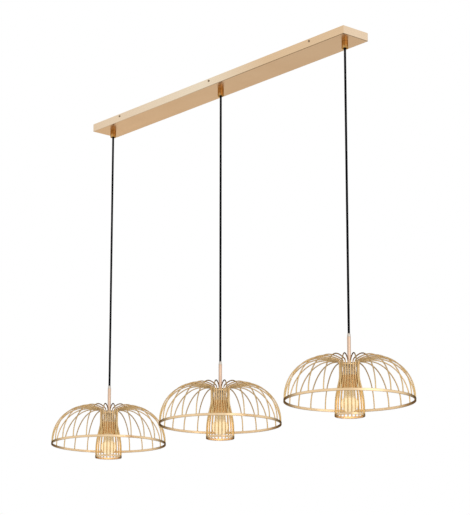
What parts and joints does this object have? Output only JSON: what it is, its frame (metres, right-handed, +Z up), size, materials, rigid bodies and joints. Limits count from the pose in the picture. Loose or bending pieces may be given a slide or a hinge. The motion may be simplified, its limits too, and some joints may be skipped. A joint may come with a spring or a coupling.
{
  "type": "linear pendant light",
  "caption": "Linear ceiling canopy with hanging cords, each carrying a domed wire shade whose ribs fold down into a flared bell round its lamp.",
  "frame": {"origin": "centre of the canopy on the ceiling plane", "axes": "+Z up, +X along the canopy, +Y across it"},
  "size_m": [1.4042, 0.3504, 1.067],
  "materials": {
    "canopy_finish": "brushed champagne gold plating on sheet steel",
    "bracket_zinc": "zinc plated",
    "dark_screw": "dark bronze lacquer",
    "grip_brass": "polished",
    "black_nylon": "matte",
    "zinc_nut": "zinc plated",
    "terminal_plastic": "matte polyamide",
    "terminal_brass": "plain",
    "grommet_rubber": "matte",
    "cord_textile": "black braided textile over a round cable",
    "lead_insulation": "smooth insulation",
    "tip_finish": "pale satin",
    "shade_gold": "satin gold lacquer on steel",
    "holder_white": "semi gloss",
    "holder_bronze": "satin bronze",
    "holder_ceramic": "glazed",
    "lamp_metal": "rolled",
    "lamp_opal": "opal, warm"
  },
  "bodies": {
    "canopy": {"canopy_shell": "canopy_finish", "ceiling_bracket": "bracket_zinc", "side_screws": "dark_screw", "cord_grip_left": "grip_brass", "cord_grip_middle": "grip_brass", "cord_grip_right": "grip_brass", "grip_collets": "black_nylon", "grip_nuts": "zinc_nut", "grip_screws": "zinc_nut", "terminal_strip": "terminal_plastic", "terminal_screws": "terminal_brass", "supply_grommet": "grommet_rubber", "earth_screw": "terminal_brass", "inner_cords": "cord_textile", "inner_leads": "lead_insulation"},
    "bend_left": {"cord_upper_left": "cord_textile"},
    "line_left": {"cord_left": "cord_textile"},
    "tip_left": {"stem_tip_left": "tip_finish"},
    "shade_left": {"stem_left": "shade_gold", "stem_nut_left": "zinc_nut", "neck_plate_left": "shade_gold", "ribs_left": "shade_gold", "rim_ring_left": "shade_gold", "bell_ring_left": "shade_gold", "holder_cap_left": "holder_white", "holder_shell_left": "holder_bronze", "holder_insert_left": "holder_ceramic", "holder_contacts_left": "terminal_brass"},
    "lamp_left": {"lamp_cap_left": "lamp_metal", "lamp_glass_left": "lamp_opal"},
    "bend_middle": {"cord_upper_middle": "cord_textile"},
    "line_middle": {"cord_middle": "cord_textile"},
    "tip_middle": {"stem_tip_middle": "tip_finish"},
    "shade_middle": {"stem_middle": "shade_gold", "stem_nut_middle": "zinc_nut", "neck_plate_middle": "shade_gold", "ribs_middle": "shade_gold", "rim_ring_middle": "shade_gold", "bell_ring_middle": "shade_gold", "holder_cap_middle": "holder_white", "holder_shell_middle": "holder_bronze", "holder_insert_middle": "holder_ceramic", "holder_contacts_middle": "terminal_brass"},
    "lamp_middle": {"lamp_cap_middle": "lamp_metal", "lamp_glass_middle": "lamp_opal"},
    "bend_right": {"cord_upper_right": "cord_textile"},
    "line_right": {"cord_right": "cord_textile"},
    "tip_right": {"stem_tip_right": "tip_finish"},
    "shade_right": {"stem_right": "shade_gold", "stem_nut_right": "zinc_nut", "neck_plate_right": "shade_gold", "ribs_right": "shade_gold", "rim_ring_right": "shade_gold", "bell_ring_right": "shade_gold", "holder_cap_right": "holder_white", "holder_shell_right": "holder_bronze", "holder_insert_right": "holder_ceramic", "holder_contacts_right": "terminal_brass"},
    "lamp_right": {"lamp_cap_right": "lamp_metal", "lamp_glass_right": "lamp_opal"}
  },
  "joints": [
    {"name": "swing_left", "type": "hinge", "parent": "canopy", "child": "bend_left", "pos_m": [-0.527, 0, -0.042], "axis": [1, 0, 0], "range_deg": [-20, 20]},
    {"name": "sway_left", "type": "hinge", "parent": "bend_left", "child": "line_left", "pos_m": [-0.527, 0, -0.082], "axis": [0, 1, 0], "range_deg": [-4.5, 4.5]},
    {"name": "drop_left", "type": "slide", "parent": "line_left", "child": "tip_left", "axis": [0, 0, 1], "range_m": [0, 0.4], "deforming": ["cord_left"]},
    {"name": "twist_left", "type": "hinge", "parent": "tip_left", "child": "shade_left", "pos_m": [-0.527, 0, -0.853], "axis": [0, 0, 1], "range_deg": [-180, 180]},
    {"name": "lamp_out_left", "type": "slide", "parent": "shade_left", "child": "lamp_left", "axis": [0, 0, -1], "range_m": [0, 0.12]},
    {"name": "swing_middle", "type": "hinge", "parent": "canopy", "child": "bend_middle", "pos_m": [0, 0, -0.042], "axis": [1, 0, 0], "range_deg": [-20, 20]},
    {"name": "sway_middle", "type": "hinge", "parent": "bend_middle", "child": "line_middle", "pos_m": [0, 0, -0.082], "axis": [0, 1, 0], "range_deg": [-4.5, 4.5]},
    {"name": "drop_middle", "type": "slide", "parent": "line_middle", "child": "tip_middle", "axis": [0, 0, 1], "range_m": [0, 0.4], "deforming": ["cord_middle"]},
    {"name": "twist_middle", "type": "hinge", "parent": "tip_middle", "child": "shade_middle", "pos_m": [0, 0, -0.853], "axis": [0, 0, 1], "range_deg": [-180, 180]},
    {"name": "lamp_out_middle", "type": "slide", "parent": "shade_middle", "child": "lamp_middle", "axis": [0, 0, -1], "range_m": [0, 0.12]},
    {"name": "swing_right", "type": "hinge", "parent": "canopy", "child": "bend_right", "pos_m": [0.527, 0, -0.042], "axis": [1, 0, 0], "range_deg": [-20, 20]},
    {"name": "sway_right", "type": "hinge", "parent": "bend_right", "child": "line_right", "pos_m": [0.527, 0, -0.082], "axis": [0, 1, 0], "range_deg": [-4.5, 4.5]},
    {"name": "drop_right", "type": "slide", "parent": "line_right", "child": "tip_right", "axis": [0, 0, 1], "range_m": [0, 0.4], "deforming": ["cord_right"]},
    {"name": "twist_right", "type": "hinge", "parent": "tip_right", "child": "shade_right", "pos_m": [0.527, 0, -0.853], "axis": [0, 0, 1], "range_deg": [-180, 180]},
    {"name": "lamp_out_right", "type": "slide", "parent": "shade_right", "child": "lamp_right", "axis": [0, 0, -1], "range_m": [0, 0.12]}
  ]
}
